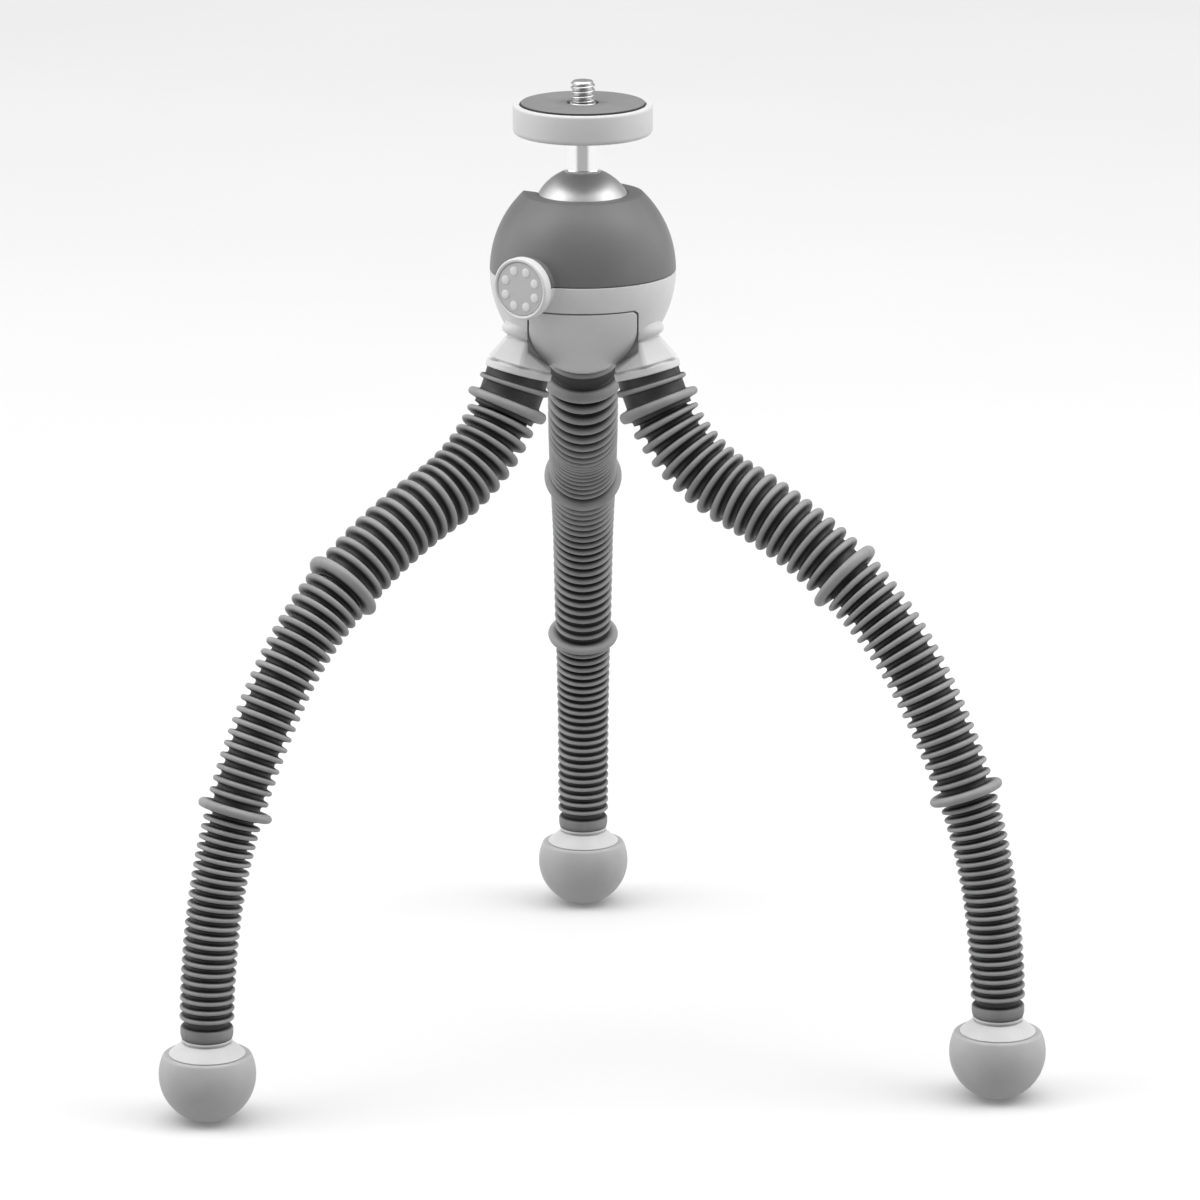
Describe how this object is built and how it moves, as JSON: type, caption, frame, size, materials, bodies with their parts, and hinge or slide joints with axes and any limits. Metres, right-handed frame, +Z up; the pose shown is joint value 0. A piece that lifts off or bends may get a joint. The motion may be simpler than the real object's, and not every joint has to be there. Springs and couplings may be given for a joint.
{
  "type": "flexible leg tripod",
  "caption": "Small camera tripod with a clamped ball head, a spinning screw platform, a side lock knob and ribbed bendable legs on bowl-shaped feet.",
  "frame": {"origin": "on the floor, below the vertical axis of the hub and ball head", "axes": "+Z up along the camera screw, -Y towards the viewer of the picture, +X to the viewer's right"},
  "size_m": [0.2303, 0.216, 0.2592],
  "materials": {
    "shell_dark": "fine-textured satin",
    "shell_light": "fine-textured satin",
    "panel_light": "smooth satin",
    "inner_black": "moulded",
    "race_plastic": "low-friction moulded",
    "ball_satin": "satin",
    "stem_chrome": "polished",
    "screw_steel": "plated",
    "disc_light": "fine-textured satin",
    "pad_rubber": "matt",
    "knob_light": "satin with a polished rim",
    "knob_cap": "satin",
    "inner_steel": "plain",
    "shoe_brass": "machined",
    "sleeve_rubber": "matt moulded elastomer",
    "core_plastic": "moulded",
    "collar_light": "satin",
    "foot_rubber": "matt moulded elastomer"
  },
  "bodies": {
    "hub": {"upper_shell": "shell_dark", "lower_shell": "shell_light", "hub_panels": "panel_light", "hub_screws": "inner_steel", "chassis": "inner_black", "leg_anchors": "inner_steel", "leg_root_sleeves": "sleeve_rubber"},
    "race": {"ball_race": "race_plastic"},
    "head": {"head_ball": "ball_satin", "head_stem": "stem_chrome", "camera_screw": "screw_steel"},
    "platform": {"platform_disc": "disc_light", "platform_pad": "pad_rubber"},
    "knob": {"lock_knob": "knob_light", "knob_cap": "knob_cap", "clamp_screw": "inner_steel"},
    "shoe": {"brake_shoe": "shoe_brass"},
    "left_link_1": {"left_sleeve_1": "sleeve_rubber", "left_core_1": "core_plastic"},
    "left_link_2": {"left_sleeve_2": "sleeve_rubber", "left_core_2": "core_plastic"},
    "left_link_3": {"left_sleeve_3": "sleeve_rubber", "left_core_3": "core_plastic"},
    "left_link_4": {"left_sleeve_4": "sleeve_rubber", "left_core_4": "core_plastic"},
    "left_link_5": {"left_sleeve_5": "sleeve_rubber", "left_core_5": "core_plastic"},
    "left_link_6": {"left_sleeve_6": "sleeve_rubber", "left_core_6": "core_plastic", "left_foot_collar": "collar_light", "left_foot": "foot_rubber"},
    "right_link_1": {"right_sleeve_1": "sleeve_rubber", "right_core_1": "core_plastic"},
    "right_link_2": {"right_sleeve_2": "sleeve_rubber", "right_core_2": "core_plastic"},
    "right_link_3": {"right_sleeve_3": "sleeve_rubber", "right_core_3": "core_plastic"},
    "right_link_4": {"right_sleeve_4": "sleeve_rubber", "right_core_4": "core_plastic"},
    "right_link_5": {"right_sleeve_5": "sleeve_rubber", "right_core_5": "core_plastic"},
    "right_link_6": {"right_sleeve_6": "sleeve_rubber", "right_core_6": "core_plastic", "right_foot_collar": "collar_light", "right_foot": "foot_rubber"},
    "rear_link_1": {"rear_sleeve_1": "sleeve_rubber", "rear_core_1": "core_plastic"},
    "rear_link_2": {"rear_sleeve_2": "sleeve_rubber", "rear_core_2": "core_plastic"},
    "rear_link_3": {"rear_sleeve_3": "sleeve_rubber", "rear_core_3": "core_plastic"},
    "rear_link_4": {"rear_sleeve_4": "sleeve_rubber", "rear_core_4": "core_plastic"},
    "rear_link_5": {"rear_sleeve_5": "sleeve_rubber", "rear_core_5": "core_plastic"},
    "rear_link_6": {"rear_sleeve_6": "sleeve_rubber", "rear_core_6": "core_plastic", "rear_foot_collar": "collar_light", "rear_foot": "foot_rubber"}
  },
  "joints": [
    {"name": "head_pan", "type": "hinge", "parent": "hub", "child": "race", "pos_m": [0, 0, 0.2228], "axis": [0, 0, 1], "range_deg": [0, 360]},
    {"name": "head_tilt", "type": "hinge", "parent": "race", "child": "head", "pos_m": [0, 0, 0.2228], "axis": [-0.5592, -0.829, 0], "range_deg": [-34, 80]},
    {"name": "platform_spin", "type": "hinge", "parent": "head", "child": "platform", "pos_m": [0, 0, 0.2478], "axis": [0, 0, 1], "continuous": true},
    {"name": "knob_turn", "type": "hinge", "parent": "hub", "child": "knob", "pos_m": [0, 0, 0.2091], "axis": [-0.5592, -0.829, 0], "range_deg": [0, 180]},
    {"name": "shoe_slide", "type": "slide", "parent": "hub", "child": "shoe", "axis": [0.5592, 0.829, 0], "range_m": [0, 0.0004]},
    {"name": "left_bend_1", "type": "hinge", "parent": "hub", "child": "left_link_1", "pos_m": [-0.02079, -0.012, 0.17332], "axis": [-0.6088, 0.7934, 0], "range_deg": [-30, 30], "deforming": ["left_sleeve_1"]},
    {"name": "left_bend_2", "type": "hinge", "parent": "left_link_1", "child": "left_link_2", "pos_m": [-0.03778, -0.02504, 0.15387], "axis": [-0.3163, -0.2427, 0.9171], "range_deg": [-30, 30], "deforming": ["left_sleeve_2"]},
    {"name": "left_bend_3", "type": "hinge", "parent": "left_link_2", "child": "left_link_3", "pos_m": [-0.06299, -0.04438, 0.13401], "axis": [0.6088, -0.7934, 0], "range_deg": [-30, 30], "deforming": ["left_sleeve_3"]},
    {"name": "left_bend_4", "type": "hinge", "parent": "left_link_3", "child": "left_link_4", "pos_m": [-0.07848, -0.05627, 0.11053], "axis": [0.6871, 0.5272, -0.5], "range_deg": [-30, 30], "deforming": ["left_sleeve_4"]},
    {"name": "left_bend_5", "type": "hinge", "parent": "left_link_4", "child": "left_link_5", "pos_m": [-0.08979, -0.06495, 0.07962], "axis": [-0.6088, 0.7934, 0], "range_deg": [-30, 30], "deforming": ["left_sleeve_5"]},
    {"name": "left_bend_6", "type": "hinge", "parent": "left_link_5", "child": "left_link_6", "pos_m": [-0.0951, -0.06903, 0.05323], "axis": [-0.7836, -0.6013, 0.1564], "range_deg": [-30, 30], "deforming": ["left_sleeve_6"]},
    {"name": "right_bend_1", "type": "hinge", "parent": "hub", "child": "right_link_1", "pos_m": [0.02079, -0.012, 0.17332], "axis": [-0.4226, -0.9063, 0], "range_deg": [-30, 30], "deforming": ["right_sleeve_1"]},
    {"name": "right_bend_2", "type": "hinge", "parent": "right_link_1", "child": "right_link_2", "pos_m": [0.0402, -0.02105, 0.15387], "axis": [0.3614, -0.1685, 0.9171], "range_deg": [-30, 30], "deforming": ["right_sleeve_2"]},
    {"name": "right_bend_3", "type": "hinge", "parent": "right_link_2", "child": "right_link_3", "pos_m": [0.069, -0.03448, 0.13401], "axis": [0.4226, 0.9063, 0], "range_deg": [-30, 30], "deforming": ["right_sleeve_3"]},
    {"name": "right_bend_4", "type": "hinge", "parent": "right_link_3", "child": "right_link_4", "pos_m": [0.0867, -0.04274, 0.11053], "axis": [-0.7849, 0.366, -0.5], "range_deg": [-30, 30], "deforming": ["right_sleeve_4"]},
    {"name": "right_bend_5", "type": "hinge", "parent": "right_link_4", "child": "right_link_5", "pos_m": [0.09961, -0.04876, 0.07962], "axis": [-0.4226, -0.9063, 0], "range_deg": [-30, 30], "deforming": ["right_sleeve_5"]},
    {"name": "right_bend_6", "type": "hinge", "parent": "right_link_5", "child": "right_link_6", "pos_m": [0.10569, -0.05159, 0.05323], "axis": [0.8951, -0.4174, 0.1564], "range_deg": [-30, 30], "deforming": ["right_sleeve_6"]},
    {"name": "rear_bend_1", "type": "hinge", "parent": "hub", "child": "rear_link_1", "pos_m": [0, 0.02401, 0.17332], "axis": [1, 0, 0], "range_deg": [-30, 30], "deforming": ["rear_sleeve_1"]},
    {"name": "rear_bend_2", "type": "hinge", "parent": "rear_link_1", "child": "rear_link_2", "pos_m": [0, 0.04542, 0.15387], "axis": [0, 0.3987, 0.9171], "range_deg": [-30, 30], "deforming": ["rear_sleeve_2"]},
    {"name": "rear_bend_3", "type": "hinge", "parent": "rear_link_2", "child": "rear_link_3", "pos_m": [0, 0.0772, 0.13401], "axis": [-1, 0, 0], "range_deg": [-30, 30], "deforming": ["rear_sleeve_3"]},
    {"name": "rear_bend_4", "type": "hinge", "parent": "rear_link_3", "child": "rear_link_4", "pos_m": [0, 0.09672, 0.11053], "axis": [0, -0.866, -0.5], "range_deg": [-30, 30], "deforming": ["rear_sleeve_4"]},
    {"name": "rear_bend_5", "type": "hinge", "parent": "rear_link_4", "child": "rear_link_5", "pos_m": [0, 0.11097, 0.07962], "axis": [1, 0, 0], "range_deg": [-30, 30], "deforming": ["rear_sleeve_5"]},
    {"name": "rear_bend_6", "type": "hinge", "parent": "rear_link_5", "child": "rear_link_6", "pos_m": [0, 0.11768, 0.05323], "axis": [0, 0.9877, 0.1564], "range_deg": [-30, 30], "deforming": ["rear_sleeve_6"]}
  ],
  "couplings": [
    {"joint": "knob_turn", "follows": "shoe_slide", "rad_per_m": 7854}
  ]
}
